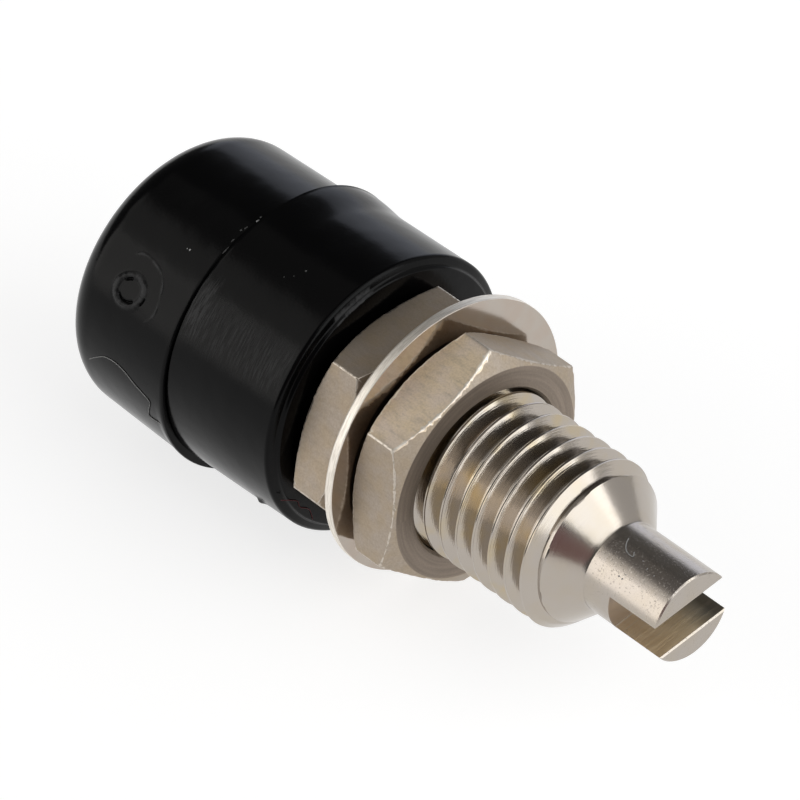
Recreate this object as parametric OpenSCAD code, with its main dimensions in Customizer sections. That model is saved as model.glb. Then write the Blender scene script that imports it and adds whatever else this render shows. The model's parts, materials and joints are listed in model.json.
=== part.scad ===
// Panel-mount 4 mm banana socket with a moulded head and a threaded contact body.
// The axis lies along X. The head's rear face, which seats on the panel, is at X = 0,
// the plug enters from -X and the solder pin points to +X.

/* [Head] */
// Length of the moulded head, from its front face to its rear face
head_length = 10.2; // [9:0.1:14]
// Length of the front cap, from the front face to the parting line
cap_length = 5.15; // [3:0.05:6.5]
// Diameter of the cap at the parting line
cap_diameter = 10.2; // [9.4:0.1:13]
// Diameter of the rear sleeve
sleeve_diameter = 10.2; // [9.4:0.1:13]
// Draft angle of the cap, so that it leaves its half of the mould
cap_draft = 1.5; // [0:0.1:2.5]
// Radius of the rounded front edge
front_round = 1.2; // [0.4:0.1:2]
// Width of the bevel on the rear rim of the sleeve, along the radius
rim_bevel_width = 0.35; // [0.05:0.05:0.5]
// Length of the same bevel, along the axis
rim_bevel_length = 0.25; // [0.05:0.05:0.5]
// How far the cap's half of the mould sits off the axis
cap_shift = 0.14; // [0:0.01:0.3]
// How far the sleeve's half of the mould sits off the axis, the opposite way
sleeve_shift = 0.125; // [0:0.005:0.3]
// Direction in which the sleeve is shifted, from +Y towards +Z
mould_shift_angle = 39; // [0:1:359]
// Plastic wall in front of the contact body
front_wall = 1; // [0.6:0.1:2]
// Diameter of the plug entry through the front wall
entry_diameter = 4.5; // [4.4:0.1:5]
// Lead-in bevel around the plug entry
entry_bevel = 0.5; // [0.1:0.1:0.5]

/* [Contact body] */
// Outside diameter of the thread, and of the plain length inside the head
thread_diameter = 6; // [5.7:0.1:7]
// Travel of the thread in one turn
thread_pitch = 0.75; // [0.5:0.05:1]
// Distance from the head's rear face to the front end of the thread
thread_start = 0.3; // [0.1:0.1:1]
// Direction in which the thread's groove, carried on forwards, would cross the plane of that face
thread_angle = 50; // [0:1:359]
// Length of the shank behind the head, end cone included
shank_length = 11.05; // [9.5:0.05:20]
// Slope of the end cone against the axis
cone_angle = 45; // [30:1:60]
// Diameter of the groove that keys the body into the moulding
groove_diameter = 5.2; // [4.9:0.1:5.5]
// Length of the groove
groove_length = 2.2; // [1:0.1:3]
// Distance from the front of the body to the groove
groove_setback = 2.5; // [1:0.1:4]
// Diameter of the plug bore
plug_diameter = 4; // [3.5:0.05:4.2]
// Bevel at the mouth of the plug bore
bore_bevel = 0.3; // [0.1:0.05:0.5]
// Point angle of the drill that leaves the end of the bore
drill_angle = 118; // [90:1:150]
// Solid metal between the end of the bore and the root of the pin
bore_end_wall = 2.8; // [2:0.1:5]

/* [Solder pin] */
// Diameter of the pin
pin_diameter = 3.25; // [2:0.05:4]
// Length of the pin behind the end cone
pin_length = 3.3; // [2.5:0.1:8]
// Width of the wire slot across the pin
slot_width = 1.4; // [0.6:0.1:1.8]
// Depth of the wire slot, from the tip of the pin
slot_depth = 2.1; // [1:0.1:2.4]
// Direction of the wire slot, from +Y towards +Z
slot_angle = 8; // [0:1:179]
// How far the slot's middle lies below the axis
slot_drop = 0.05; // [0:0.01:0.2]

/* [Nuts] */
// Width of both nuts across flats
nut_flats = 8; // [8:0.1:10]
// Thickness of both nuts
nut_thickness = 2; // [1.2:0.1:3]
// How far the flat round face, inside the corner bevels, stays back from the flats
nut_face_inset = 0.1; // [0.05:0.05:0.3]
// Slope of the corner bevels against the face
nut_bevel_angle = 30; // [10:1:35]
// Bevel at both mouths of the nut's thread
nut_mouth_bevel = 0.1; // [0.05:0.05:0.3]
// Direction of a corner of the panel nut, from +Y towards +Z
panel_nut_angle = 7.5; // [0:0.5:59.5]
// Direction of a corner of the terminal nut, from +Y towards +Z
terminal_nut_angle = 23; // [0:0.5:59.5]

/* [Washer] */
// Outside diameter of the washer
washer_diameter = 10; // [9:0.1:13]
// Thickness of the washer
washer_thickness = 0.4; // [0.3:0.05:1]
// Radius of the washer's front edge, rounded by the press
washer_roll = 0.15; // [0.05:0.01:0.15]
// Bevel on the washer's rear edge
washer_edge = 0.03; // [0.02:0.01:0.1]
// Direction in which the loose washer lies off the axis, from +Y towards +Z
washer_shift_angle = 35; // [0:1:359]

/* [Fits] */
// Gap between the moulding and the contact body inside it
moulding_clearance = 0.02; // [0.01:0.01:0.1]
// Radial clearance of the nuts over the thread
thread_clearance = 0.05; // [0.02:0.01:0.1]
// Radial clearance of the washer over the thread, when centred
washer_clearance = 0.35; // [0.1:0.05:0.6]
// Smallest gap left between the washer and the thread
washer_rest_gap = 0.1; // [0.05:0.01:0.1]
// Gap between the head and the panel nut
panel_nut_gap = 0.2; // [0.2:0.05:10]
// Gap between the panel nut and the washer
washer_gap = 0.1; // [0.1:0.05:2]
// Gap between the washer and the terminal nut
terminal_nut_gap = 0.1; // [0.1:0.05:2]

/* [Hidden] */
$fn = 96;
plastic = [0.03, 0.03, 0.035];
nickel = [0.74, 0.70, 0.63];

// How far a cutting shape runs past the face that it cuts
overrun = 1;

// Metric thread: depth of its groove, and half the groove's width at the root
thread_depth = 0.6134 * thread_pitch;
root_half = thread_pitch / 12;

// Thread tool: straight steps in each turn and in all, its reach above the crests, and half its width there
steps_per_turn = 30;
tool_steps = ceil((shank_length - thread_start) / thread_pitch * steps_per_turn);
tool_reach = 0.05;
tool_half = root_half + (thread_depth + tool_reach) * tan(30);

// Radii
cap_r = cap_diameter / 2;
sleeve_r = sleeve_diameter / 2;
entry_r = entry_diameter / 2;
thread_r = thread_diameter / 2;
groove_r = groove_diameter / 2;
root_r = thread_r - thread_depth;
bore_r = plug_diameter / 2;
pin_r = pin_diameter / 2;
nut_face_r = nut_flats / 2 - nut_face_inset;
nut_corner_r = nut_flats / 2 / cos(30);
nut_bore_r = thread_r + thread_clearance;
washer_r = washer_diameter / 2;
washer_hole_r = thread_r + washer_clearance;
washer_shift = washer_clearance - washer_rest_gap;

// Places along X, from the front of the head to the tip of the pin
head_front = -head_length;
parting_x = head_front + cap_length;
pocket_front = head_front + front_wall;
body_front = pocket_front + moulding_clearance;
groove_front = body_front + groove_setback;
groove_rear = groove_front + groove_length;
panel_nut_front = panel_nut_gap;
washer_front = panel_nut_front + nut_thickness + washer_gap;
terminal_nut_front = washer_front + washer_thickness + terminal_nut_gap;
bore_tip = shank_length - bore_end_wall;
bore_end = bore_tip - bore_r / tan(drill_angle / 2);
cone_front = shank_length - (thread_r - pin_r) / tan(cone_angle);
pin_tip = shank_length + pin_length;

// Centre of the front rounding, which touches the front face and the drafted side
round_x = head_front + front_round;
round_r = cap_r - (front_round + (parting_x - round_x) * sin(cap_draft)) / cos(cap_draft);

// Lays a shape that is drawn along Z onto the X axis, turned from +Y towards +Z
module along_x(turn = 0) {
    rotate([0, 90, 0]) rotate([0, 0, 90 + turn]) children();
}

// Moves a shape sideways from the X axis, in the direction of an angle from +Y towards +Z
module off_axis(distance, angle) {
    translate([0, distance * cos(angle), distance * sin(angle)]) children();
}

// Half section of the cap: radius across, X upwards
module cap_section() {
    polygon([
        [0, head_front],
        [round_r, head_front],
        [round_r + front_round * cos(cap_draft), round_x - front_round * sin(cap_draft)],
        [cap_r, parting_x],
        [0, parting_x]
    ]);
    translate([round_r, round_x]) circle(front_round);
}

// Half section of the sleeve behind the parting line
module sleeve_section() {
    polygon([
        [0, parting_x],
        [sleeve_r, parting_x],
        [sleeve_r, -rim_bevel_length],
        [sleeve_r - rim_bevel_width, 0],
        [0, 0]
    ]);
}

// Half section of the plug entry and of the pocket that holds the contact body
module pocket_section() {
    c = moulding_clearance;
    polygon([
        [0, head_front - overrun],
        [entry_r + entry_bevel + overrun, head_front - overrun],
        [entry_r, head_front + entry_bevel],
        [entry_r, pocket_front],
        [thread_r + c, pocket_front],
        [thread_r + c, groove_front + c],
        [groove_r + c, groove_front + c],
        [groove_r + c, groove_rear - c],
        [thread_r + c, groove_rear - c],
        [thread_r + c, overrun],
        [0, overrun]
    ]);
}

// Head: one black moulding around the contact body, its two mould halves a little out of line
module insulating_head() {
    color(plastic) difference() {
        union() {
            off_axis(-cap_shift, mould_shift_angle) along_x() rotate_extrude() cap_section();
            off_axis(sleeve_shift, mould_shift_angle) along_x() rotate_extrude() sleeve_section();
        }
        along_x() rotate_extrude() pocket_section();
    }
}

// Half section of the turned contact body, with its blind plug bore
module body_section() {
    polygon([
        [bore_r + bore_bevel, body_front],
        [thread_r, body_front],
        [thread_r, groove_front],
        [groove_r, groove_front],
        [groove_r, groove_rear],
        [thread_r, groove_rear],
        [thread_r, cone_front],
        [pin_r, shank_length],
        [pin_r, pin_tip],
        [0, pin_tip],
        [0, bore_tip],
        [bore_r, bore_end],
        [bore_r, body_front + bore_bevel]
    ]);
}

// Section of the thread tool at one step of its path: angle about the axis, X and radius for each corner.
// Over the first half turn the tool moves into the metal.
function tool_section(step) =
    let (
        turns = step / steps_per_turn,
        height = thread_depth + tool_reach,
        bottom = root_r + height * max(0, 1 - 2 * turns)
    )
    [
        for (corner = [[-root_half, 0], [root_half, 0], [tool_half, height], [-tool_half, height]])
            let (x = thread_start + thread_pitch * turns + corner[0], r = bottom + corner[1])
            [r * cos(360 * turns), r * sin(360 * turns), x]
    ];

// Thread tool: a 60 degree point carried along a right-hand helix, drawn along Z
module thread_tool() {
    last = 4 * tool_steps;
    sides = [
        for (step = [0:tool_steps - 1], side = [0:3])
            let (a = 4 * step + side, b = 4 * step + (side + 1) % 4)
            [a, a + 4, b + 4, b]
    ];
    polyhedron(
        points = [for (step = [0:tool_steps]) each tool_section(step)],
        faces = concat([[0, 1, 2, 3]], sides, [[last + 3, last + 2, last + 1, last]])
    );
}

// Contact body: one turned brass piece with its plug bore, threaded shank, end cone and slotted pin
module socket_body() {
    color(nickel) difference() {
        along_x() rotate_extrude() body_section();
        along_x(thread_angle + 360 * thread_start / thread_pitch) thread_tool();
        along_x(slot_angle)
            translate([-pin_diameter, -slot_width / 2 - slot_drop, pin_tip - slot_depth])
            cube([2 * pin_diameter, slot_width, slot_depth + overrun]);
    }
}

// Half section that takes the corner bevels off a hexagon, and ends just before the two bevels meet
module nut_bevel_section() {
    meeting_r = nut_face_r + 0.49 * nut_thickness / tan(nut_bevel_angle);
    bevel_r = min(nut_corner_r + overrun, meeting_r);
    drop = (bevel_r - nut_face_r) * tan(nut_bevel_angle);
    polygon([
        [0, 0],
        [nut_face_r, 0],
        [bevel_r, drop],
        [bevel_r, nut_thickness - drop],
        [nut_face_r, nut_thickness],
        [0, nut_thickness]
    ]);
}

// Half section of the nut's bore, bevelled at both mouths
module nut_bore_section() {
    mouth_r = nut_bore_r + nut_mouth_bevel;
    polygon([
        [0, -overrun],
        [mouth_r + overrun, -overrun],
        [nut_bore_r, nut_mouth_bevel],
        [nut_bore_r, nut_thickness - nut_mouth_bevel],
        [mouth_r + overrun, nut_thickness + overrun],
        [0, nut_thickness + overrun]
    ]);
}

// Thin hexagon nut, drawn along Z from its front face, with a corner on +X
module hex_nut() {
    difference() {
        intersection() {
            cylinder(h = nut_thickness, r = nut_corner_r, $fn = 6);
            rotate_extrude() nut_bevel_section();
        }
        rotate_extrude() nut_bore_section();
    }
}

// Panel nut: clamps the panel against the head
module panel_nut() {
    color(nickel) along_x(panel_nut_angle) translate([0, 0, panel_nut_front]) hex_nut();
}

// Half section of the washer, from its front face
module washer_section() {
    polygon([
        [washer_hole_r, 0],
        [washer_r - washer_roll, 0],
        [washer_r, washer_roll],
        [washer_r, washer_thickness - washer_edge],
        [washer_r - washer_edge, washer_thickness],
        [washer_hole_r, washer_thickness]
    ]);
    translate([washer_r - washer_roll, washer_roll]) circle(washer_roll);
}

// Washer: pressed disc that lies loose on the thread between the nuts
module washer() {
    color(nickel) off_axis(washer_shift, washer_shift_angle) along_x() rotate_extrude()
        translate([0, washer_front]) washer_section();
}

// Terminal nut: clamps a wire tag against the washer
module terminal_nut() {
    color(nickel) along_x(terminal_nut_angle) translate([0, 0, terminal_nut_front]) hex_nut();
}

insulating_head();
socket_body();
panel_nut();
washer();
terminal_nut();
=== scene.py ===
import json
import math

import bmesh
import bpy
import numpy as np
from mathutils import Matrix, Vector


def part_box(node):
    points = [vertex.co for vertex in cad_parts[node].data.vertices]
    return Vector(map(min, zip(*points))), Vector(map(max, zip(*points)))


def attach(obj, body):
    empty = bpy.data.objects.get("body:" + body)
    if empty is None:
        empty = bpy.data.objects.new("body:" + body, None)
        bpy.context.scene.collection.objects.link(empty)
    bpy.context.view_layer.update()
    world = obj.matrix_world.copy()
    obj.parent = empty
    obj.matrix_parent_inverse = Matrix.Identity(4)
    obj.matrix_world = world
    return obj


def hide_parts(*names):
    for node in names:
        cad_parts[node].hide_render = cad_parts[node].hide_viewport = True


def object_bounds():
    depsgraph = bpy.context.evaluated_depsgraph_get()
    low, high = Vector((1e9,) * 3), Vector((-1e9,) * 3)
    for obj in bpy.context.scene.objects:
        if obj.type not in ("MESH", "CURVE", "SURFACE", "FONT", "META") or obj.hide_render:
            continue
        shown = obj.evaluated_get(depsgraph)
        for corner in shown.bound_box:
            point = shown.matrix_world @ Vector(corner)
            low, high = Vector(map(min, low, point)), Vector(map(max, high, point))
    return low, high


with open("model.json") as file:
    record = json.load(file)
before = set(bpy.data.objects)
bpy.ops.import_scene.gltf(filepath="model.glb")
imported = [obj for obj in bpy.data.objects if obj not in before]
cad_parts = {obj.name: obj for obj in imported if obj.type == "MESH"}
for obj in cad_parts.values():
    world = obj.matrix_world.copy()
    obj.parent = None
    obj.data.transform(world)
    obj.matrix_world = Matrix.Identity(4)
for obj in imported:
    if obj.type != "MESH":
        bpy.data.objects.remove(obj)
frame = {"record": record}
cad_low, cad_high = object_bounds()

# Contact body
# The core of the socket is turned from brass bar in one piece and nickel plated: a bored length inside
# the head, a shank with a fine right-hand thread, a cone, and a round pin with a sawn slot for the wire.
mm = 0.001
mounts = {mount["name"]: mount for mount in frame["record"]["mounts"]}
body_low, body_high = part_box("socket_body")
body_front = body_low.x
thread_radius = body_high.z
pin_radius = mounts["solder_pin"]["dims"]["r_mm"] * mm
pin_root = mounts["solder_pin"]["pos_m"][0]
pin_tip = body_high.x
bore_radius = mounts["plug_bore"]["dims"]["r_mm"] * mm
bore_mouth = mounts["plug_bore"]["pos_m"][0]
bore_end = bore_mouth + mounts["plug_bore"]["dims"]["length_mm"] * mm
drill_half_angle = math.radians(59)
drill_point = bore_radius / math.tan(drill_half_angle)
front_bevel = 0.1 * mm
groove_front = body_front + 2.5 * mm
groove_rear = groove_front + 2.2 * mm
groove_radius = 2.6 * mm

pitch = 2 * math.pi / frame["record"]["behaviour"]["couplings"][0]["ratio"]
thread_depth = 0.46 * mm
flank_angle = math.radians(30)
flank_length = thread_depth * math.tan(flank_angle)
crest_flat = 0.094 * mm
crest_dip = 0.03
crest_place = 11.52 * mm
thread_front = 0.25 * mm
thread_rear = 10.92 * mm
run_in = 0.4 * mm

slot_angle = math.radians(8)
slot_width = 1.4 * mm
slot_drop = 0.05 * mm
slot_depth = 2.1 * mm
slot_floor = pin_tip - slot_depth
tip_bevel = 0.05 * mm


def smooth_step(low, high, value):
    """Rises from 0 to 1 between low and high, with no corner at either end."""
    share = np.clip((value - low) / (high - low), 0, 1)
    return share * share * (3 - 2 * share)


def around_axis(x, radius, angle):
    """Points at places along X, radii and angles from +Y towards +Z."""
    return np.stack(np.broadcast_arrays(x, radius * np.cos(angle), radius * np.sin(angle)), -1)


def join_rings(rows, columns, first=0):
    """Four-sided faces that join each ring of points to the next, closed around the axis."""
    row, column = np.meshgrid(np.arange(rows - 1), np.arange(columns), indexing="ij")
    beside = (column + 1) % columns
    corners = [row * columns + column, (row + 1) * columns + column]
    corners += [(row + 1) * columns + beside, row * columns + beside]
    return (np.stack(corners, -1).reshape(-1, 4) + first).tolist()


def make_piece(name, points, faces, crease=35, marks=None):
    """A piece from points and faces, with doubled points joined and edges over crease degrees kept sharp.

    Marks are named values at the points, for the piece's material.
    """
    mesh = bpy.data.meshes.new(name)
    mesh.from_pydata(np.asarray(points).tolist(), [], faces)
    for mark, values in (marks or {}).items():
        mesh.attributes.new(mark, "FLOAT", "POINT").data.foreach_set("value", np.asarray(values).ravel())
    shell = bmesh.new()
    shell.from_mesh(mesh)
    bmesh.ops.remove_doubles(shell, verts=shell.verts, dist=0.0002 * mm)
    bmesh.ops.dissolve_degenerate(shell, edges=shell.edges, dist=0.0001 * mm)
    bmesh.ops.recalc_face_normals(shell, faces=shell.faces)
    shell.to_mesh(mesh)
    shell.free()
    mesh.shade_smooth()
    mesh.set_sharp_from_angle(angle=math.radians(crease))
    piece = bpy.data.objects.new(name, mesh)
    bpy.context.scene.collection.objects.link(piece)
    return piece


# Columns of points around the body, which meet the slot's corners exactly
slot_top = slot_width / 2 - slot_drop
slot_bottom = slot_width / 2 + slot_drop
top_corner = math.asin(slot_top / pin_radius)
bottom_corner = math.asin(slot_bottom / pin_radius)
slot_corners = [top_corner, math.pi - top_corner, math.pi + bottom_corner, 2 * math.pi - bottom_corner]
slot_corners.append(slot_corners[0] + 2 * math.pi)
arc_columns = [72, 28, 68, 28]
body_angles = np.concatenate([
    np.linspace(start, end, count, endpoint=False)
    for start, end, count in zip(slot_corners, slot_corners[1:], arc_columns)
]) + slot_angle
body_columns = len(body_angles)


def cone_radius(x):
    """Radius of the 45 degree cone between the thread and the pin."""
    return pin_radius + pin_root - x


def thread_section():
    """Places across one pitch, from mid-groove, and the thread's height there: root 0, crest 1."""
    half_crest = crest_flat / 2
    half_dip = 0.4 * half_crest
    flank = np.linspace(0, 1, 9)
    rise = -half_crest - flank_length * (1 - flank)
    place = np.concatenate([[-pitch / 2], rise, [-half_dip, half_dip], -rise[::-1]])
    height = np.concatenate([[0], flank, [1 - crest_dip, 1 - crest_dip], flank[::-1]])
    return place, height


def thread_rows():
    """Rows of points that follow the thread's helix, cut off by the cone at the rear."""
    place, height = thread_section()
    first_turn = math.floor((thread_front - crest_place) / pitch) - 2
    last_turn = math.ceil((thread_rear - crest_place) / pitch) + 1
    turns = np.repeat(np.arange(first_turn, last_turn), len(place))
    along = crest_place + turns * pitch + np.tile(place, last_turn - first_turn)
    depth = thread_depth * (1 - np.tile(height, last_turn - first_turn))
    x = np.clip(along[:, None] + pitch * body_angles / (2 * math.pi), thread_front, thread_rear)
    radius = thread_radius - depth[:, None] * smooth_step(thread_front, thread_front + run_in, x)
    over = radius - cone_radius(x)
    row, column = np.nonzero(over[:-1] * over[1:] < 0)
    share = over[row, column] / (over[row, column] - over[row + 1, column])
    crossing = x[row, column] + share * (x[row + 1, column] - x[row, column])
    nearest = row + (share > 0.5)
    x[nearest, column] = crossing
    radius = np.minimum(radius, cone_radius(x))
    return around_axis(x, radius, body_angles), len(place)


def thread_faces(rows, rows_per_turn, first):
    """Faces between the thread's rows. Past the last column a row meets the one a full turn on."""
    row, column = np.meshgrid(np.arange(rows - 1), np.arange(body_columns), indexing="ij")
    beside = (column + 1) % body_columns
    shifted = row + np.where(beside == 0, rows_per_turn, 0)
    keep = shifted + 1 < rows
    corners = [row * body_columns + column, (row + 1) * body_columns + column]
    corners += [(shifted + 1) * body_columns + beside, shifted * body_columns + beside]
    return (np.stack(corners, -1)[keep] + first).tolist()


# Stations of the turned body as (place along X, radius): from the end of the bore round to the thread, and
# from the cone down the pin to the slot's floor. Rings close to an edge keep the long faces beside it even.
root_round = 0.03 * mm
ring_gap = 0.02 * mm
body_stations = [
    (bore_end + drill_point, 0),
    (bore_end, bore_radius),
    (bore_mouth, bore_radius),
    (body_front, bore_radius + bore_mouth - body_front),
    (body_front, thread_radius - front_bevel),
    (body_front + front_bevel, thread_radius),
    (groove_front, thread_radius),
    (groove_front, groove_radius),
    (groove_rear, groove_radius),
    (groove_rear, thread_radius),
    (thread_front, thread_radius),
]
pin_stations = [
    (thread_rear, cone_radius(thread_rear)),
    (pin_root - root_round, pin_radius + root_round),
    (pin_root + ring_gap, pin_radius),
    (pin_root + 2 * ring_gap, pin_radius),
    (slot_floor - 2 * ring_gap, pin_radius),
    (slot_floor, pin_radius),
]


def lathe_rings(stations):
    """Rings about the axis at (place along X, radius) stations."""
    x, radius = np.array(stations)[:, :, None].transpose(1, 0, 2)
    return around_axis(x, radius, body_angles[None, :])


def prong_start(upright, floor_row):
    """Wall height, middle angle and first arc, on the ring at the slot's floor, of half the sawn pin."""
    wall = slot_top if upright else slot_bottom
    middle = slot_angle + (math.pi / 2 if upright else 3 * math.pi / 2)
    count = arc_columns[0 if upright else 2] + 1
    first_column = 0 if upright else arc_columns[0] + arc_columns[1]
    return wall, middle, [floor_row + (first_column + step) % body_columns for step in range(count)]


helix_rows, rows_per_turn = thread_rows()
blocks = [lathe_rings(body_stations), helix_rows, lathe_rings(pin_stations)]
starts = np.cumsum([0] + [len(block) * body_columns for block in blocks]).tolist()
faces = join_rings(len(blocks[0]), body_columns, starts[0])
faces += thread_faces(len(blocks[1]), rows_per_turn, starts[1])
faces += join_rings(len(blocks[2]), body_columns, starts[2])
points = [block.reshape(-1, 3) for block in blocks]
next_point = starts[3]
floor_row = next_point - body_columns
for upright in (True, False):
    wall, middle, arc = prong_start(upright, floor_row)
    count = len(arc)
    rows = [arc]
    for x, inset in ((pin_tip - tip_bevel, 0), (pin_tip, tip_bevel)):
        half_span = math.acos((wall + inset) / (pin_radius - inset))
        spread = middle + np.linspace(-half_span, half_span, count)
        points.append(around_axis(x, pin_radius - inset, spread))
        rows.append(list(range(next_point, next_point + count)))
        next_point += count
    for low_row, high_row in zip(rows, rows[1:]):
        for step in range(count - 1):
            faces.append([low_row[step], high_row[step], high_row[step + 1], low_row[step + 1]])
        faces.append([low_row[-1], high_row[-1], high_row[0], low_row[0]])
    faces.append(rows[-1])
right_side = list(range(arc_columns[0], arc_columns[0] + arc_columns[1] + 1))
left_side = list(range(sum(arc_columns[:3]), body_columns)) + [0]
faces.append([floor_row + column for column in right_side + left_side])
contact_body = make_piece("contact_body", np.concatenate(points), faces)


def start_material(name):
    """A material with its node tree, its shader and coordinates in millimetres in the part's own frame."""
    material = bpy.data.materials.new(name)
    material.use_nodes = True
    tree = material.node_tree
    place = add_node(tree, "TexCoord").outputs["Object"]
    place = add_node(tree, "VectorMath", {0: place, 1: (1000, 1000, 1000)}, operation="MULTIPLY").outputs[0]
    return material, tree, tree.nodes["Principled BSDF"], place


def add_node(tree, kind, inputs=None, **settings):
    """A shader node, with its settings and its inputs: sockets are linked, other values are set."""
    made = tree.nodes.new("ShaderNode" + kind)
    for setting, value in settings.items():
        setattr(made, setting, value)
    for socket, value in (inputs or {}).items():
        if isinstance(value, bpy.types.NodeSocket):
            tree.links.new(value, made.inputs[socket])
        else:
            made.inputs[socket].default_value = value
    return made


def noise(tree, place, scale, detail=3, stretch=(1, 1, 1)):
    """Noise of so many cells to the millimetre, stretched by a factor along each axis."""
    place = add_node(tree, "VectorMath", {0: place, 1: stretch}, operation="MULTIPLY").outputs[0]
    made = add_node(tree, "TexNoise", {"Vector": place, "Scale": scale, "Detail": detail})
    return made.outputs["Fac"]


def ramp(tree, value, low, high, start, end):
    """Maps value from low to high onto start to end, and holds it at the ends."""
    inputs = {"Value": value, "From Min": low, "From Max": high, "To Min": start, "To Max": end}
    return add_node(tree, "MapRange", inputs).outputs["Result"]


def times(tree, first, second):
    """The product of two values."""
    return add_node(tree, "Math", {0: first, 1: second}, operation="MULTIPLY").outputs[0]


def mix_colour(tree, share, first, second):
    """The first colour at share 0 and the second at share 1."""
    made = add_node(tree, "Mix", data_type="RGBA")
    for socket, value in ((made.inputs[0], share), (made.inputs[6], first), (made.inputs[7], second)):
        if isinstance(value, bpy.types.NodeSocket):
            tree.links.new(value, socket)
        else:
            socket.default_value = value
    return made.outputs[2]


def bump(tree, height, depth, normal=None):
    """A normal that follows a height of so many metres."""
    inputs = {"Height": height, "Distance": depth, "Strength": 1.0}
    if normal is not None:
        inputs["Normal"] = normal
    return add_node(tree, "Bump", inputs).outputs["Normal"]


def polar(tree, place):
    """Place along the axis, distance from it and angle about it, as a vector in millimetres and radians."""
    parts = add_node(tree, "SeparateXYZ", {0: place})
    angle = add_node(tree, "Math", {0: parts.outputs[2], 1: parts.outputs[1]}, operation="ARCTAN2")
    flat = add_node(tree, "VectorMath", {0: place, 1: (0, 1, 1)}, operation="MULTIPLY").outputs[0]
    radius = add_node(tree, "VectorMath", {0: flat}, operation="LENGTH").outputs["Value"]
    return add_node(tree, "CombineXYZ", {0: parts.outputs[0], 1: radius, 2: angle.outputs[0]}).outputs[0]


def end_facing(tree):
    """How far the surface looks along the axis, either way: 1 on an end face and 0 on a side."""
    normal = add_node(tree, "NewGeometry").outputs["Normal"]
    along = add_node(tree, "SeparateXYZ", {0: normal}).outputs[0]
    return add_node(tree, "Math", {0: along}, operation="ABSOLUTE").outputs[0]


# Stretches along X, in mm, over which the finish of the body and its painted golden reflection change
gold_ends = (9.3, 9.8)
tool_marks_end = (9.6, 9.9)
polish_ends = (9.6, 11.4)
pits_begin = (10.8, 11.4)


def painted_gold_reflection(tree, place, along):
    """How strongly golden reflection is painted on: in clouds over the thread, and not beyond it."""
    clouds = ramp(tree, noise(tree, place, 0.7, 3, (1.4, 1, 1)), 0.5, 0.66, 0, 1)
    return times(tree, clouds, ramp(tree, along, *gold_ends, 1, 0))


def painted_pin_dark_band(tree, turned):
    """Share of the painted shade, a dark band standing in for a dark reflection: along the pin's round side,
    and nowhere else.
    """
    along, radius, angle = add_node(tree, "SeparateXYZ", {0: turned}).outputs
    side = pin_radius / mm
    root = pin_root / mm
    share = ramp(tree, angle, math.radians(94), math.radians(102), 0, 1)
    bounds = [ramp(tree, angle, math.radians(117), math.radians(131), 0.7, 0)]
    bounds.append(ramp(tree, radius, side - tip_bevel / mm, side - 0.02, 0, 1))
    bounds.append(ramp(tree, along, root + 0.02, root + 0.2, 0, 1))
    for bound in bounds:
        share = times(tree, share, bound)
    return share


def bright_nickel():
    """Bright nickel on turned brass: thin tool rings, and warm clouds where the plate is thin.

    The thread has golden clouds painted as reflection, and the pin has fine pits
    and a dark, blotchy band painted as shade.
    """
    material, tree, shader, place = start_material("bright_nickel")
    turned = polar(tree, place)
    along = add_node(tree, "SeparateXYZ", {0: place}).outputs[0]
    clouds = ramp(tree, noise(tree, place, 0.9, 4), 0.42, 0.62, 0, 1)
    plate = mix_colour(tree, clouds, (0.43, 0.388, 0.345, 1), (0.43, 0.382, 0.325, 1))
    # Painted reflection: golden clouds over the thread stand in for golden reflections.
    plate = mix_colour(tree, painted_gold_reflection(tree, place, along), plate, (0.46, 0.385, 0.27, 1))
    # Painted shade: a dark, blotchy band along the pin's round side stands in for a dark reflection.
    specks = ramp(tree, noise(tree, place, 14, 4), 0.58, 0.68, 0, 1)
    painted_band_colour = mix_colour(tree, specks, (0.15, 0.13, 0.12, 1), (0.52, 0.49, 0.46, 1))
    plate = mix_colour(tree, painted_pin_dark_band(tree, turned), plate, painted_band_colour)
    pits = ramp(tree, noise(tree, place, 13, 3), 0.61, 0.70, 0, 1)
    pits = times(tree, pits, ramp(tree, along, *pits_begin, 0, 1))
    plate = mix_colour(tree, times(tree, pits, 0.2), plate, (0.25, 0.22, 0.18, 1))
    tree.links.new(plate, shader.inputs["Base Color"])
    rings = noise(tree, turned, 22, 3, (1, 1, 0.12))
    satin = ramp(tree, along, *polish_ends, 0.11, 0.2)
    rough = add_node(tree, "Math", {0: rings, 1: 0.1, 2: satin}, operation="MULTIPLY_ADD").outputs[0]
    tree.links.new(rough, shader.inputs["Roughness"])
    shader.inputs["Metallic"].default_value = 1
    lines = times(tree, rings, ramp(tree, along, *tool_marks_end, 1, 0.25))
    lined = bump(tree, lines, 0.004 * mm)
    land = add_node(tree, "Math", {0: 1.0, 1: pits}, operation="SUBTRACT").outputs[0]
    pitted = bump(tree, land, 0.003 * mm, lined)
    tree.links.new(bump(tree, noise(tree, place, 2.5, 2), 0.003 * mm, pitted), shader.inputs["Normal"])
    return material


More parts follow.
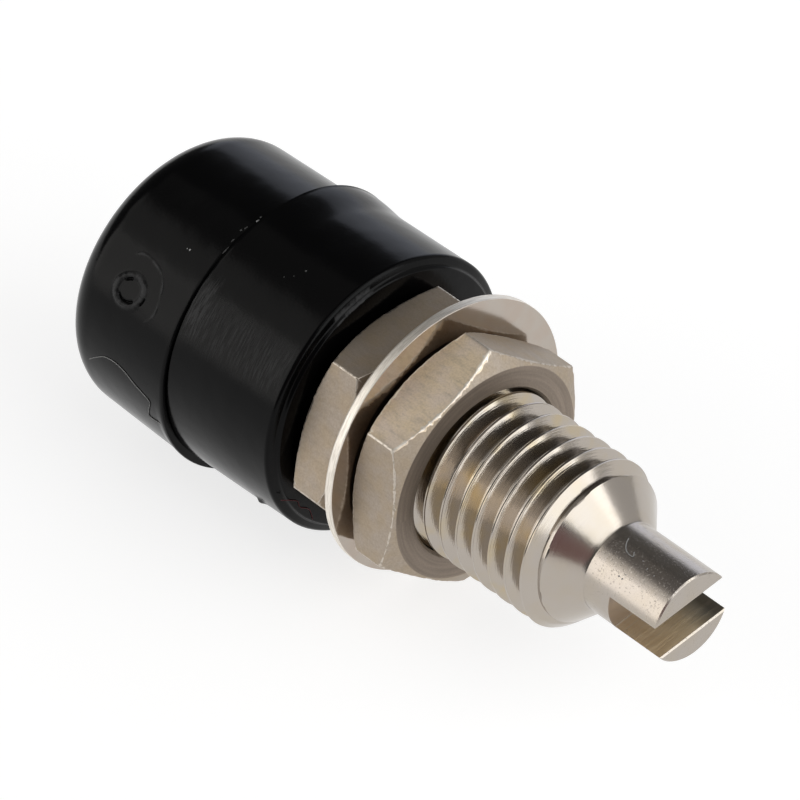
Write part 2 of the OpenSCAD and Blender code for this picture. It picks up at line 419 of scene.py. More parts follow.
def sawn_brass():
    """Thinly plated brass in the slot: saw lines across, a painted highlight at the inner corner, and
    painted shade on the slot's floor face and towards the far end.
    """
    material, tree, shader, place = start_material("sawn_brass")
    along, across, _ = add_node(tree, "SeparateXYZ", {0: place}).outputs
    floor_place = slot_floor / mm
    strokes = noise(tree, place, 5, 3, (4, 0.08, 0.5))
    stains = ramp(tree, noise(tree, place, 1.6, 3), 0.4, 0.6, 0, 1)
    brass = mix_colour(tree, stains, (0.98, 0.88, 0.70, 1), (0.88, 0.76, 0.57, 1))
    bare = mix_colour(tree, ramp(tree, strokes, 0.55, 0.7, 0, 0.7), brass, (0.92, 0.87, 0.78, 1))
    # Painted highlight: a pale line along the inner corner beside the slot's floor.
    corner = ramp(tree, along, floor_place + 0.03, floor_place + 0.06, 1, 0)
    bare = mix_colour(tree, corner, bare, (1, 0.97, 0.9, 1))
    # Painted shade: faces that look along the axis, here the slot's floor, are darkened.
    bare = mix_colour(tree, ramp(tree, end_facing(tree), 0.7, 0.9, 0, 1), bare, (0.26, 0.22, 0.20, 1))
    # Painted shade: darker towards the far end of the slot.
    painted_far_shade = ramp(tree, across, 0.3, 1.2, 0, 0.85)
    tree.links.new(mix_colour(tree, painted_far_shade, bare, (0.10, 0.085, 0.065, 1)), shader.inputs["Base Color"])
    tree.links.new(ramp(tree, strokes, 0.3, 0.7, 0.5, 0.3), shader.inputs["Roughness"])
    shader.inputs["Metallic"].default_value = 1
    tree.links.new(bump(tree, strokes, 0.012 * mm), shader.inputs["Normal"])
    return material


contact_body.data.materials.append(bright_nickel())
contact_body.data.materials.append(sawn_brass())
for face in contact_body.data.polygons:
    beside_slot = slot_floor - 0.01 * mm < face.center.x < pin_tip - tip_bevel
    if beside_slot and math.hypot(face.center.y, face.center.z) < 0.9 * pin_radius:
        face.material_index = 1
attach(contact_body, "socket")
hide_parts("socket_body")

# Insulating head
# One black moulding around the front of the contact body. Its mould is split across the middle, and the
# two halves don't quite meet, which leaves a step, a little flash and the mark of the gate on the cap.
head_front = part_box("insulating_head")[0].x
parting = head_front + 5.15 * mm
cap_radius = 5.1 * mm
sleeve_radius = 5.1 * mm
cap_draft = math.radians(1.5)
front_round = 1.2 * mm
entry_radius = mounts["plug_entry"]["dims"]["r_mm"] * mm
entry_front = mounts["plug_entry"]["pos_m"][0]
entry_mouth = entry_radius + entry_front - head_front
head_clearance = 0.02 * mm
pocket_front = entry_front + mounts["plug_entry"]["dims"]["length_mm"] * mm
pocket_radius = thread_radius + head_clearance
shift_angle = math.radians(39)
cap_shift = -0.14 * mm
sleeve_shift = 0.125 * mm
sleeve_lean = 0.02

# Edges of both halves at the parting line, and the sleeve's stepped rim: (place along X, inset) in mm
edge_length = 0.07 * mm
cap_edge = [(-0.02, 0.02), (0, 0.07)]
sleeve_edge = [(0, 0.09), (0.02, 0.03)]
rim_front = -0.28 * mm
rim = [(-0.23, 0.03), (-0.18, 0.10), (-0.15, 0.26), (-0.12, 0.31), (-0.06, 0.335), (-0.02, 0.36), (0, 0.41)]

# Columns and rows of points on the head, close together at the gate mark and wide apart at the back
head_sectors = [(-138, 90, 140), (90, 131, 40), (131, 165, 140), (165, 222, 60)]
head_angles = np.radians(np.concatenate([np.linspace(*sector, endpoint=False) for sector in head_sectors]))
gate_rows = np.linspace(-8.4 * mm, -6.0 * mm, 105)


def head_stations():
    """The head's section as (place along X, radius, sideways shift), from the pocket to the rear face."""
    ridge_front = groove_front + head_clearance
    ridge_rear = groove_rear - head_clearance
    ridge_radius = groove_radius + head_clearance
    inside = [(0, pocket_radius), (ridge_rear, pocket_radius), (ridge_rear, ridge_radius)]
    inside += [(ridge_front, ridge_radius), (ridge_front, pocket_radius), (pocket_front, pocket_radius)]
    inside += [(pocket_front, entry_radius), (entry_front, entry_radius), (head_front, entry_mouth)]
    round_x = head_front + front_round
    slope = (front_round + (parting - round_x) * math.sin(cap_draft)) / math.cos(cap_draft)
    round_radius = cap_radius - slope
    section = [(x, radius, 0.0) for x, radius in inside]
    section.append((head_front, (entry_mouth + round_radius) / 2, cap_shift))
    for turn in np.linspace(-math.pi / 2, -cap_draft, 15):
        x = round_x + front_round * math.sin(turn)
        section.append((x, round_radius + front_round * math.cos(turn), cap_shift))
    before_gate = np.linspace(section[-1][0], gate_rows[0], 8)[1:-1]
    behind_gate = np.linspace(gate_rows[-1], parting - edge_length, 12)[1:]
    for x in np.concatenate([before_gate, gate_rows, behind_gate]):
        section.append((x, cap_radius - (parting - x) * math.tan(cap_draft), cap_shift))
    section += [(parting + x * mm, cap_radius - inset * mm, cap_shift) for x, inset in cap_edge]
    section += [(parting + x * mm, sleeve_radius - inset * mm, sleeve_shift) for x, inset in sleeve_edge]
    for x in np.linspace(parting + edge_length, rim_front, 64):
        section.append((x, sleeve_radius, sleeve_shift + sleeve_lean * (x - parting / 2)))
    rim_shift = section[-1][2]
    section += [(x * mm, sleeve_radius - inset * mm, rim_shift) for x, inset in rim]
    section.append((0, (sleeve_radius + pocket_radius) / 2, rim_shift / 2))
    section.append(section[0])
    return np.array(section)


# The head's side leaves out the first ten rows of the section (inside, front) and the last four (rear face)
section = head_stations()
x = section[:, 0][:, None]
angle = head_angles[None, :]
on_side = np.zeros(len(section))
on_side[10:-4] = 1
on_cap = (x < parting - 0.01 * mm) * on_side[:, None]
on_sleeve = (x > parting + 0.01 * mm) * on_side[:, None]


def near(x, angle, place, size):
    """1 at a place (X in mm, angle in degrees) on the head, falling to 0 at size (mm along, mm across)."""
    along = (x - place[0] * mm) / (size[0] * mm)
    across = (angle - math.radians(place[1])) * cap_radius / (size[1] * mm)
    return np.exp(-(along ** 2 + across ** 2))


# Lip that the sleeve's mould half left beside the parting line, the bead of flash opposite, and a small pip
lip_height = 0.13 * mm
bead_height = 0.05 * mm
pip_height = 0.10 * mm
lip_turn = np.cos(angle - shift_angle)
lip = smooth_step(0.45, 0.98, lip_turn) * smooth_step(-3.5 * mm, -4.9 * mm, x)
bead = smooth_step(-0.75, -0.97, lip_turn) * smooth_step(-5.5 * mm, -5.15 * mm, x)
pip = near(x, angle, (-1.45, 214), (0.12, 0.18))
lift = lip_height * lip * on_sleeve + bead_height * bead * on_cap + pip_height * pip * on_sleeve


def around_mark(x, angle, centre):
    """Distance from a mark's centre (X in mm, angle in degrees) on the head, and the bearing from it."""
    along = x - centre[0] * mm
    across = (angle - math.radians(centre[1])) * cap_radius
    return np.hypot(along, across), np.arctan2(across, along)


def line_at(distance, radius, width):
    """1 at a radius from a mark's centre, falling to 0 over a width to both sides of it."""
    return np.exp(-((distance - radius) / width) ** 2)


def window(low, high, soft, value):
    """1 between low and high, falling to 0 over a soft margin outside them."""
    return smooth_step(low - soft, low, value) * smooth_step(high + soft, high, value)


# Gate mark: a torn, whitened ring with a moat inside it, and the curved witness line beside it
ring_height = 0.05 * mm
moat_depth = 0.09 * mm
witness_height = 0.02 * mm
distance, bearing = around_mark(x, angle, (-7.49, 148.1))
oval = np.cos(2 * bearing - 5.3)
gate_radius = (0.57 + 0.06 * oval) * mm
ring = line_at(distance, gate_radius, 0.11 * mm)
moat = line_at(distance, 0.78 * gate_radius, 0.045 * mm)
moat = moat * (window(0.87, 2.4, 0.25, bearing) + 0.8 * window(-2.45, -1.8, 0.15, bearing))
nick = line_at(distance, 1.15 * gate_radius, 0.04 * mm) * window(-0.04, 0.33, 0.12, bearing)
lift = lift + on_cap * (ring_height * ring - moat_depth * (moat + nick))
pale = on_cap * np.clip(ring * (0.75 + 0.25 * oval) - 0.7 * (moat + nick), 0, 1)
distance, bearing = around_mark(x, angle, (-7.35, 147))
witness = line_at(distance, 1.2 * mm * (1 + 0.02 * np.sin(6 * bearing)), 0.04 * mm)
witness = witness * window(-1.95, 0.55, 0.2, bearing) * (0.6 + 0.4 * np.sin(9 * bearing)) * on_cap
lift = lift + witness_height * witness
pale = pale + witness

# Scuffs round the sleeve's side, worst beside the parting line, and fine scratches on the rim
turn = np.degrees(angle)
scuffed = 0.7 * window(-4.9 * mm, -0.6 * mm, 0.4 * mm, x) * window(141, 147, 11, turn)
scuffed = scuffed + 1.3 * window(-5.02 * mm, -4.45 * mm, 0.2 * mm, x) * window(133, 146, 8, turn)
scuffed = scuffed * on_sleeve
for scratch_x, start, end in ((-0.15, 99, 115), (-0.06, 98, 111), (-0.02, 103, 116)):
    pale = pale + window(scratch_x * mm, scratch_x * mm, 0.012 * mm, x) * window(start, end, 2, turn)

head_points = around_axis(x, section[:, 1][:, None] + lift, angle)
head_points[:, :, 1] += (section[:, 2] * math.cos(shift_angle))[:, None]
head_points[:, :, 2] += (section[:, 2] * math.sin(shift_angle))[:, None]
head_points = head_points.reshape(-1, 3)
head_faces = join_rings(len(section), len(head_angles))
head_marks = {"pale": np.clip(pale, 0, 1), "scuffed": scuffed}
moulded_head = make_piece("moulded_head", head_points, head_faces, crease=40, marks=head_marks)


def black_moulding():
    """Black moulded plastic: a soft gloss and a slightly wavy skin, whitened where it is torn or scuffed."""
    material, tree, shader, place = start_material("black_moulding")
    turned = polar(tree, place)
    pale = add_node(tree, "Attribute", attribute_name="pale").outputs["Fac"]
    scuffed = add_node(tree, "Attribute", attribute_name="scuffed").outputs["Fac"]
    strokes = ramp(tree, noise(tree, turned, 15, 4, (1, 0, 0.5)), 0.42, 0.66, 0, 1)
    clumps = ramp(tree, noise(tree, place, 1.1, 3), 0.35, 0.65, 0.6, 1)
    scuffs = times(tree, scuffed, times(tree, strokes, clumps))
    blotches = ramp(tree, noise(tree, place, 5, 3), 0.35, 0.6, 0.4, 1.6)
    torn = times(tree, pale, blotches)
    white = add_node(tree, "Math", {0: scuffs, 1: torn}, operation="ADD", use_clamp=True).outputs[0]
    black = mix_colour(tree, white, (0.001, 0.001, 0.0012, 1), (0.045, 0.045, 0.046, 1))
    tree.links.new(black, shader.inputs["Base Color"])
    shader.inputs["Specular IOR Level"].default_value = 0.1
    sheen = ramp(tree, noise(tree, place, 0.7, 3), 0.3, 0.7, 0.15, 0.22)
    rough = add_node(tree, "Math", {0: white, 1: 0.3, 2: sheen}, operation="MULTIPLY_ADD").outputs[0]
    tree.links.new(rough, shader.inputs["Roughness"])
    wavy = bump(tree, noise(tree, place, 0.5, 2), 0.03 * mm)
    grainy = bump(tree, noise(tree, place, 9, 3), 0.002 * mm, wavy)
    tree.links.new(bump(tree, scuffs, 0.003 * mm, grainy), shader.inputs["Normal"])
    return material


moulded_head.data.materials.append(black_moulding())
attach(moulded_head, "socket")
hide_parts("insulating_head")

# Lint and dust
# Stray fibres that lie on the socket: one across the cap to the parting line, one on the rear face and a
# short curl on the pin. A few specks lie on the cap, along the parting line, on the sleeve and on the pin.
fibre_radius = 0.017 * mm
speck_height = 0.02 * mm

# Fibres on the head's side and the pin as (X in mm, angle in degrees), and on the rear face as (Y, Z) in mm
cap_fibre = [(-8.85, 188), (-8.33, 183), (-7.92, 180), (-7.42, 179), (-6.93, 180), (-6.44, 182.5)]
cap_fibre += [(-6.06, 184), (-5.70, 186), (-5.82, 191), (-5.90, 195), (-5.52, 195), (-5.20, 194)]
pin_fibre = [(11.58, 94), (11.68, 101), (11.84, 107.5), (12.04, 110.7), (12.24, 110.5), (12.14, 104.6)]
rear_fibre = [(-4.60, -1.54), (-4.21, -1.77), (-3.86, -2.01)]
rear_fibre += [(-3.74, -2.34), (-3.35, -2.66), (-3.18, -3.23)]

# Specks as (X in mm, angle in degrees, half length and half width in mm)
bright_specks = [(-6.25, 122.7, 0.05, 0.05), (-6.36, 122.9, 0.03, 0.03), (-5.16, 98.5, 0.04, 0.10)]
dull_specks = [(-2.20, 107.4, 0.05, 0.05), (-2.64, 114.0, 0.03, 0.03), (-2.39, 111.6, 0.03, 0.03)]
dull_specks += [(-5.13, 115.2, 0.03, 0.22), (-5.20, 110.8, 0.03, 0.10), (-5.28, 105.5, 0.05, 0.06)]
dull_specks += [(-5.22, 103.7, 0.03, 0.10), (-5.20, 96.5, 0.05, 0.06)]
pin_specks = [(12.26, 137.1, 0.05, 0.04), (12.42, 137.9, 0.04, 0.05), (12.46, 131.7, 0.03, 0.03)]
pin_specks += [(12.94, 112.6, 0.03, 0.05), (13.31, 114.5, 0.03, 0.04), (12.62, 107.6, 0.03, 0.03)]
pin_specks += [(11.54, 145.0, 0.03, 0.03), (11.43, 63.2, 0.04, 0.03), (11.98, 70.0, 0.03, 0.03)]


def on_surface(x, angle, height):
    """Point so far above the head's side or the pin, at a place along X in mm and an angle in degrees."""
    turn = math.radians(angle)
    place = x * mm
    if place > pin_root:
        radius = pin_radius
        shift = 0
    elif place < parting:
        radius = cap_radius - (parting - place) * math.tan(cap_draft)
        shift = cap_shift
    else:
        radius = sleeve_radius
        shift = sleeve_shift + sleeve_lean * (place - parting / 2)
    across = (radius + height) * math.cos(turn) + shift * math.cos(shift_angle)
    up = (radius + height) * math.sin(turn) + shift * math.sin(shift_angle)
    return np.array([place, across, up])


def smooth_path(points, steps=6):
    """A curve through all the points, with so many steps between each two."""
    ends = [2 * points[0] - points[1]] + list(points) + [2 * points[-1] - points[-2]]
    path = []
    for before, start, end, after in zip(ends, ends[1:], ends[2:], ends[3:]):
        for share in np.arange(steps) / steps:
            bend = 2 * start + (end - before) * share
            bend = bend + (2 * before - 5 * start + 4 * end - after) * share ** 2
            path.append((bend + (3 * start - before - 3 * end + after) * share ** 3) / 2)
    return np.array(path + [points[-1]])


def make_fibre(name, points, sides=6):
    """A thin round thread along a path, drawn out to a point at both ends."""
    path = smooth_path(points)
    along = np.gradient(path, axis=0)
    along = along / np.linalg.norm(along, axis=1)[:, None]
    across = np.cross(along, (0.36, 0.48, 0.8))
    across = across / np.linalg.norm(across, axis=1)[:, None]
    upward = np.cross(along, across)
    turns = np.linspace(0, 2 * math.pi, sides, endpoint=False)
    thick = np.full(len(path), fibre_radius)
    thick[[0, -1]] = 0
    ring = np.cos(turns)[None, :, None] * across[:, None, :]
    ring = ring + np.sin(turns)[None, :, None] * upward[:, None, :]
    rings = path[:, None, :] + thick[:, None, None] * ring
    return make_piece(name, rings.reshape(-1, 3), join_rings(len(path), sides), crease=80)


def make_specks(name, specks):
    """Small low crumbs of dust, each a ring of points about a raised middle and a sunken one."""
    spread = np.random.default_rng(7)
    corners = 9
    points = []
    faces = []
    for x, angle, length, width in specks:
        first = len(points)
        side = pin_radius if x > 0 else cap_radius
        for turn in np.linspace(0, 2 * math.pi, corners, endpoint=False):
            reach = spread.uniform(0.5, 1.0)
            wide = math.degrees(width * reach * math.sin(turn) / side * mm)
            points.append(on_surface(x + length * reach * math.cos(turn), angle + wide, 0))
        points.append(on_surface(x, angle, speck_height))
        points.append(on_surface(x, angle, -speck_height))
        for corner in range(corners):
            beside = first + (corner + 1) % corners
            faces.append([first + corner, beside, first + corners])
            faces.append([beside, first + corner, first + corners + 1])
    return make_piece(name, points, faces, crease=80)


def dull_lint(name, colour):
    """Dull fibre or dust in one plain colour."""
    material, tree, shader, place = start_material(name)
    shader.inputs["Base Color"].default_value = colour
    shader.inputs["Specular IOR Level"].default_value = 0.2
    tree.links.new(ramp(tree, noise(tree, place, 12), 0.3, 0.7, 0.6, 0.9), shader.inputs["Roughness"])
    return material


cap_lint = make_fibre("cap_lint", [on_surface(x, angle, fibre_radius) for x, angle in cap_fibre])
rear_lint = make_fibre("rear_lint", [np.array([fibre_radius, y * mm, z * mm]) for y, z in rear_fibre])
pin_lint = make_fibre("pin_lint", [on_surface(x, angle, fibre_radius) for x, angle in pin_fibre])
bright_dust = make_specks("bright_dust", bright_specks + pin_specks)
dull_dust = make_specks("dull_dust", dull_specks)
pale_lint = dull_lint("pale_lint", (0.30, 0.30, 0.30, 1))
for piece in (cap_lint, pin_lint, bright_dust):
    piece.data.materials.append(pale_lint)
dull_dust.data.materials.append(dull_lint("grey_lint", (0.07, 0.07, 0.07, 1)))
rear_lint.data.materials.append(dull_lint("red_lint", (0.16, 0.06, 0.07, 1)))
for piece in (cap_lint, rear_lint, pin_lint, bright_dust, dull_dust):
    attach(piece, "socket")

# Nuts
# Two thin hexagon nuts, cut from drawn brass bar, bevelled on both faces and plated in a barrel, which
# leaves a satin skin with bright, slightly battered edges. One side of each nut is painted paler as light,
# and the turned end faces are painted darker as shade.
nut_flats = 8 * mm
nut_face_inset = 0.1 * mm
nut_face_radius = nut_flats / 2 - nut_face_inset
nut_bevel = math.tan(math.radians(30))
nut_clearance = 0.05 * mm
nut_bore = thread_radius + nut_clearance
nut_mouth = 0.1 * mm
corner_round = 0.10 * mm
corner_reach = (4.4 * mm, 4.57 * mm)
edge_wear = 0.11 * mm
least_bevel = 0.035 * mm
painted_light_side_half = 28
painted_light_side_fade = 3

# Rows on both sides of the edge between a face and its bevel, as distances beyond it
bevel_rows = (-0.03 * mm, -0.015 * mm, 0.015 * mm, 0.03 * mm)

# Rows across a worn edge, from the bevel to the side, as shares of the wear: (inset, depth)
edge_rows = [(1.1, 0), (1, 0), (0.55, 0.05), (0.22, 0.22), (0.05, 0.55), (0, 1), (0, 1.1)]

# Name, node, and the angles of a corner and of the middle of the side painted paler as light, in degrees
nuts = [("hex_nut_front", "panel_nut", 7.5, 37.5), ("hex_nut_rear", "terminal_nut", 23, 113)]


def hexagon(corner_angle):
    """Angles around a nut, and the distance to its sides there, with softly rounded corners."""
    apothem = nut_flats / 2
    reach = (apothem - corner_round) / math.cos(math.pi / 6)
    flat_half = math.atan((apothem - corner_round) * math.tan(math.pi / 6) / apothem)
    on_flat = np.linspace(-flat_half, flat_half, 71)
    on_corner = np.linspace(flat_half, math.pi / 3 - flat_half, 9)[1:-1]
    from_corner = on_corner - math.pi / 6
    rounded = reach * np.cos(from_corner) + np.sqrt(corner_round ** 2 - (reach * np.sin(from_corner)) ** 2)
    side = np.concatenate([on_flat, on_corner])
    distance = np.concatenate([apothem / np.cos(on_flat), rounded])
    turns = np.arange(6) * math.pi / 3 + math.radians(corner_angle) + math.pi / 6
    return (turns[:, None] + side[None, :]).ravel(), np.tile(distance, 6)


def wear_along(edge, count):
    """How far an edge is worn at each of count points round it: uneven, in soft runs and small nicks."""
    spread = np.random.default_rng(edge)
    turns = np.linspace(0, 2 * math.pi, count, endpoint=False)
    worn = np.full(count, 0.62)
    for waves in (5, 11, 23, 41, 83):
        worn = worn + 0.16 * np.sin(waves * turns + spread.uniform(0, 2 * math.pi))
    return edge_wear * np.clip(worn + 0.14 * spread.standard_normal(count), 0.2, 1.3)


def hex_nut(name, node, corner_angle, wear_and_painted_light):
    """One nut in the place of its node, rings from the bore round and back, one side marked for painted
    light.
    """
    low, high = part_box(node)
    angles, side = hexagon(corner_angle)
    middle = (low.x + high.x) / 2
    half = (high.x - low.x) / 2
    even = np.ones_like(side)
    drop = (side - nut_face_radius) * nut_bevel
    rings = []
    painted_light = []
    # Painted light: one side of the nut is marked to be painted paler, as light falling on it; its edges are
    # worn a little wider there too.
    worn_and_painted_light_side = window(wear_and_painted_light - painted_light_side_half, wear_and_painted_light + painted_light_side_half, painted_light_side_fade, np.degrees(angles) % 360)
    for end, seed in ((1, 3), (-1, 4)):
        worn = wear_along(seed + round(corner_angle), len(side))
        worn = worn * (0.7 + 0.5 * smooth_step(*corner_reach, side))
        worn = worn * (1 + 0.35 * worn_and_painted_light_side)
        rows = [(half - nut_mouth, nut_bore * even)]
        for radius in (nut_bore + nut_mouth, nut_bore + nut_mouth + 0.01 * mm):
            rows.append((half, radius * even))
        for beyond in bevel_rows:
            rows.append((half - max(beyond, 0) * nut_bevel, (nut_face_radius + beyond) * even))
        for inset, depth in edge_rows:
            inset = np.minimum(inset * worn, side - nut_face_radius - least_bevel)
            rows.append((half - drop + inset * nut_bevel - depth * worn, side - inset))
        sheet = [around_axis(middle + end * depth * even, radius, angles) for depth, radius in rows]
        shine = [worn_and_painted_light_side * (row > len(rows) - len(edge_rows)) for row in range(len(rows))]
        rings += sheet if end == 1 else sheet[::-1]
        painted_light += shine if end == 1 else shine[::-1]
    rings.append(rings[0])
    painted_light.append(painted_light[0])
    faces = join_rings(len(rings), len(angles))
    nut_marks = {"painted_light": np.concatenate(painted_light)}
    return make_piece(name, np.concatenate(rings), faces, crease=30, marks=nut_marks)


def satin_nickel():
    """Barrel-plated nickel: warm grey with drawn streaks on the sides and fine grain.

    One side is painted paler as light, and the turned end faces are painted browner and darker as shade.
    """
    material, tree, shader, place = start_material("satin_nickel")
    grain = noise(tree, place, 15, 4)
    streaks = noise(tree, place, 7, 4, (0.25, 1, 1))
    clouds = ramp(tree, noise(tree, place, 1.3, 4), 0.4, 0.62, 0, 1)
    plate = mix_colour(tree, clouds, (0.435, 0.372, 0.31, 1), (0.44, 0.362, 0.275, 1))
    painted_light = add_node(tree, "Attribute", attribute_name="painted_light").outputs["Fac"]
    wear_and_painted_light = mix_colour(tree, clouds, (0.86, 0.745, 0.63, 1), (0.86, 0.73, 0.55, 1))
    # Painted light: the marked side of the nut is painted paler, as light falling on it.
    plate = mix_colour(tree, painted_light, plate, wear_and_painted_light)
    streaked = mix_colour(tree, ramp(tree, streaks, 0.5, 0.75, 0, 0.3), plate, (0.30, 0.26, 0.20, 1))
    # Painted shade: the turned end faces are painted darker and browner than the sides, with turning rings.
    turned = ramp(tree, end_facing(tree), 0.93, 0.99, 0, 1)
    rings = ramp(tree, noise(tree, polar(tree, place), 9, 4, (0, 1, 0.15)), 0.35, 0.65, 0, 1)
    shaded_ringed_face = mix_colour(tree, rings, (0.255, 0.21, 0.172, 1), (0.32, 0.264, 0.217, 1))
    faced = mix_colour(tree, turned, streaked, shaded_ringed_face)
    speckled = mix_colour(tree, ramp(tree, grain, 0.35, 0.65, 0.14, 0), faced, (0.25, 0.215, 0.17, 1))
    tree.links.new(speckled, shader.inputs["Base Color"])
    tree.links.new(ramp(tree, grain, 0.3, 0.7, 0.66, 0.54), shader.inputs["Roughness"])
    shader.inputs["Metallic"].default_value = 1
    lined = bump(tree, streaks, 0.007 * mm)
    tree.links.new(bump(tree, grain, 0.0025 * mm, lined), shader.inputs["Normal"])
    return material


def worn_edge_and_painted_light():
    """Edges of a nut, rubbed bright in the barrel and by spanners, with small nicks.

    On one side they are painted paler still, as light.
    """
    material, tree, shader, place = start_material("worn_edge_and_painted_light")
    nicks = noise(tree, place, 9, 3)
    worn = ramp(tree, nicks, 0.5, 0.65, 0, 1)
    wear_and_painted_light = mix_colour(tree, worn, (0.58, 0.52, 0.45, 1), (0.38, 0.33, 0.265, 1))
    painted_light = add_node(tree, "Attribute", attribute_name="painted_light").outputs["Fac"]
    # Painted light: on the marked side the worn edges are painted paler still.
    wear_and_painted_light = mix_colour(tree, painted_light, wear_and_painted_light, (0.82, 0.76, 0.67, 1))
    tree.links.new(wear_and_painted_light, shader.inputs["Base Color"])
    tree.links.new(ramp(tree, nicks, 0.4, 0.7, 0.42, 0.56), shader.inputs["Roughness"])
    shader.inputs["Metallic"].default_value = 1
    tree.links.new(bump(tree, nicks, 0.02 * mm), shader.inputs["Normal"])
    return material


def on_edge(face, corner_angle):
    """Whether a face of the nut belongs to a rounded edge, between two sides or a side and a bevel."""
    turn = math.degrees(math.atan2(face.normal.z, face.normal.y)) - corner_angle
    off_flat = abs(turn % 60 - 30)
    lean = abs(face.normal.x)
    outside = math.hypot(face.center.y, face.center.z) > nut_face_radius
    return outside and lean < 0.82 and (lean > 0.1 or off_flat > 4)


nut_finish = satin_nickel()
edge_finish = worn_edge_and_painted_light()
for name, node, corner_angle, wear_and_painted_light in nuts:
    nut = hex_nut(name, node, corner_angle, wear_and_painted_light)
    nut.data.materials.append(nut_finish)
    nut.data.materials.append(edge_finish)
    for face in nut.data.polygons:
        if on_edge(face, corner_angle):
            face.material_index = 1
    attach(nut, node)
    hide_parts(node)

# Washer
# A plain washer pressed from thin brass strip and plated with the nuts. The press leaves one edge rounded
# and the other with a fine burr, and it hangs loose on the thread, so it lies off centre.
washer_low, washer_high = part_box("washer")
washer_radius = (washer_high.z - washer_low.z) / 2
washer_play = 0.35 * mm
washer_hole = thread_radius + washer_play
washer_centre = ((washer_low.y + washer_high.y) / 2, (washer_low.z + washer_high.z) / 2)
washer_angles = np.linspace(0, 2 * math.pi, 240, endpoint=False)
thickness = washer_high.x - washer_low.x
rolled = 0.15 * mm
burr = 0.03 * mm
close = 0.01 * mm
washer_stations = [(0, washer_hole + burr), (0, washer_hole + burr + close)]
washer_stations.append((0, washer_radius - rolled - close))
for turn in np.linspace(0, math.pi / 2, 9):
    washer_stations.append((rolled * (1 - math.cos(turn)), washer_radius - rolled * (1 - math.sin(turn))))
washer_stations += [(rolled + close, washer_radius), (thickness - burr - close, washer_radius)]
washer_stations += [(thickness - burr, washer_radius), (thickness - 0.3 * burr, washer_radius - 0.3 * burr)]
washer_stations += [(thickness, washer_radius - burr), (thickness, washer_radius - burr - close)]
washer_stations += [(thickness, washer_hole + 2 * burr + close), (thickness, washer_hole + 2 * burr)]
washer_stations += [(thickness - 2 * burr, washer_hole), (burr, washer_hole), (0, washer_hole + burr)]
washer_rings = np.array(washer_stations)
washer_points = around_axis(
    washer_low.x + washer_rings[:, 0][:, None], washer_rings[:, 1][:, None], washer_angles[None, :]
)
washer_points[:, :, 1] += washer_centre[0]
washer_points[:, :, 2] += washer_centre[1]
washer_faces = join_rings(len(washer_rings), len(washer_angles))
pressed_washer = make_piece("pressed_washer", washer_points.reshape(-1, 3), washer_faces, crease=30)


def pressed_nickel():
    """Nickel on rolled brass strip: smooth, nearly mirror-like faces and a grainy sheared edge painted pale
    as a highlight.
    """
    material, tree, shader, place = start_material("pressed_nickel")
    face = ramp(tree, end_facing(tree), 0.85, 0.97, 0, 1)
    clouds = ramp(tree, noise(tree, place, 1.1, 3), 0.4, 0.6, 0, 1)
    grain = noise(tree, polar(tree, place), 16, 3, (1.5, 1, 0.6))
    grains = ramp(tree, grain, 0.4, 0.6, 0, 1)
    strip = mix_colour(tree, clouds, (0.46, 0.41, 0.36, 1), (0.455, 0.39, 0.335, 1))
    # Painted highlight: the grainy sheared edge is made far paler than the faces, standing in for a
    # highlight.
    sheared_edge_and_highlight = mix_colour(tree, grains, (0.72, 0.67, 0.60, 1), (0.90, 0.85, 0.77, 1))
    tree.links.new(mix_colour(tree, face, sheared_edge_and_highlight, strip), shader.inputs["Base Color"])
    tree.links.new(ramp(tree, face, 0, 1, 0.50, 0.13), shader.inputs["Roughness"])
    shader.inputs["Metallic"].default_value = 1
    rough = times(tree, grain, ramp(tree, face, 0, 1, 1, 0.08))
    tree.links.new(bump(tree, rough, 0.004 * mm), shader.inputs["Normal"])
    return material


pressed_washer.data.materials.append(pressed_nickel())
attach(pressed_washer, "washer")
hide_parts("washer")

# Studio
# The socket lies on a wide white floor in a dim room, with soft boxes to the left, to the right and above,
# and weaker cards between them. The camera stands well back with a long lens and looks down at the pin.
floor_size = 3.0
half_floor = floor_size / 2
floor_corners = [(-half_floor, -half_floor), (half_floor, -half_floor)]
floor_corners += [(half_floor, half_floor), (-half_floor, half_floor)]
floor_mesh = bpy.data.meshes.new("floor")
floor_mesh.from_pydata([(x, y, cad_low.z) for x, y in floor_corners], [], [(0, 1, 2, 3)])
floor = bpy.data.objects.new("floor", floor_mesh)
bpy.context.scene.collection.objects.link(floor)


def white_floor():
    """A white floor that keeps a soft shadow, and glows a little so that it stays white in the picture."""
    material = bpy.data.materials.new("white_floor")
    material.use_nodes = True
    tree = material.node_tree
    tree.nodes.remove(tree.nodes["Principled BSDF"])
    paint = add_node(tree, "BsdfDiffuse", {"Color": (0.4, 0.4, 0.4, 1)})
    glow = add_node(tree, "Emission", {"Color": (1, 1, 1, 1), "Strength": 0.75})
    lit = add_node(tree, "AddShader", {0: paint.outputs[0], 1: glow.outputs[0]})
    path = add_node(tree, "LightPath")
    seen = path.outputs["Is Camera Ray"]
    for ray in ("Is Glossy Ray", "Is Transmission Ray"):
        seen = add_node(tree, "Math", {0: seen, 1: path.outputs[ray]}, operation="MAXIMUM").outputs[0]
    shown = add_node(tree, "MixShader", {0: seen, 1: paint.outputs[0], 2: lit.outputs[0]})
    tree.links.new(shown.outputs[0], tree.nodes["Material Output"].inputs["Surface"])
    return material


floor_mesh.materials.append(white_floor())

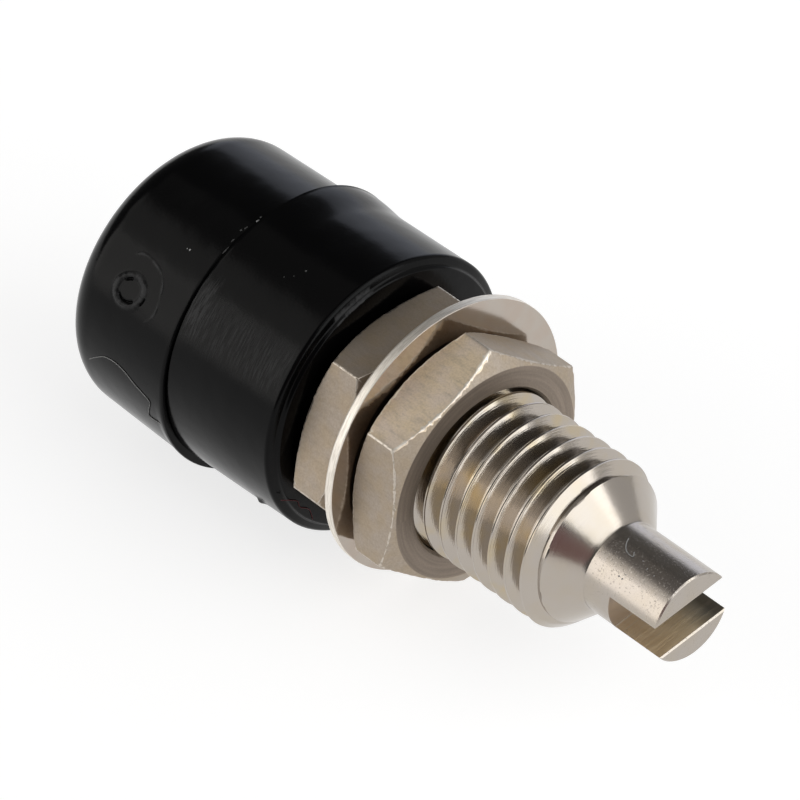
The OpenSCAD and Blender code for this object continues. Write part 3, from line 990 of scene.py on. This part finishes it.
# Lamps: name, azimuth and elevation in degrees, width and height in metres, brightness, colour
lamp_distance = 0.6
lamps = [
    ("left_box", -128, 15, 0.50, 0.40, 1.95, (1.0, 0.98, 0.95)),
    ("left_card", -141, 41, 0.50, 0.20, 1.1, (1.0, 0.98, 0.95)),
    ("upper_card", -165, 60, 0.50, 0.20, 0.24, (1.0, 0.97, 0.93)),
    ("right_box", 14, 26, 0.60, 0.60, 2.2, (0.98, 1.0, 1.0)),
    ("back_box", 59, 26, 0.56, 0.56, 0.5, (1.0, 0.99, 0.98)),
    ("back_card", 117, 11, 0.50, 0.27, 1.2, (0.82, 0.87, 1.0)),
    ("top_box", 0, 72, 0.60, 0.30, 0.9, (1.0, 0.99, 0.98)),
    ("near_card", -32, 14, 0.20, 0.30, 0.16, (1.0, 0.35, 0.38)),
]


def direction(azimuth, elevation):
    """Unit vector at an angle from +X towards +Y, and at a height above the floor, in degrees."""
    turn = math.radians(azimuth)
    rise = math.radians(elevation)
    return Vector((math.cos(turn) * math.cos(rise), math.sin(turn) * math.cos(rise), math.sin(rise)))


def soft_box(name, azimuth, elevation, width, height, brightness, colour):
    """A rectangular lamp that looks at the socket, with its brightness as seen from there."""
    lamp = bpy.data.lights.new(name, "AREA")
    lamp.shape = "RECTANGLE"
    lamp.size = width
    lamp.size_y = height
    lamp.energy = brightness * math.pi * width * height
    lamp.color = colour
    box = bpy.data.objects.new(name, lamp)
    box.location = direction(azimuth, elevation) * lamp_distance
    box.rotation_euler = (-box.location).to_track_quat("-Z", "Y").to_euler()
    bpy.context.scene.collection.objects.link(box)


for lamp in lamps:
    soft_box(*lamp)

world = bpy.data.worlds.new("dim_room")
world.use_nodes = True
world.node_tree.nodes["Background"].inputs["Color"].default_value = (0.11, 0.11, 0.11, 1)
bpy.context.scene.world = world

camera_place = (164.99 * mm, -150.60 * mm, 188.67 * mm)
camera_look = Vector((-0.56320, 0.51637, -0.64511))
camera = bpy.data.cameras.new("camera")
camera.sensor_width = 36
camera.lens = 405
camera.clip_start = 0.01
camera_stand = bpy.data.objects.new("camera", camera)
camera_stand.location = camera_place
camera_stand.rotation_euler = camera_look.to_track_quat("-Z", "Y").to_euler()
bpy.context.scene.collection.objects.link(camera_stand)
bpy.context.scene.camera = camera_stand
bpy.context.scene.view_settings.view_transform = "Standard"
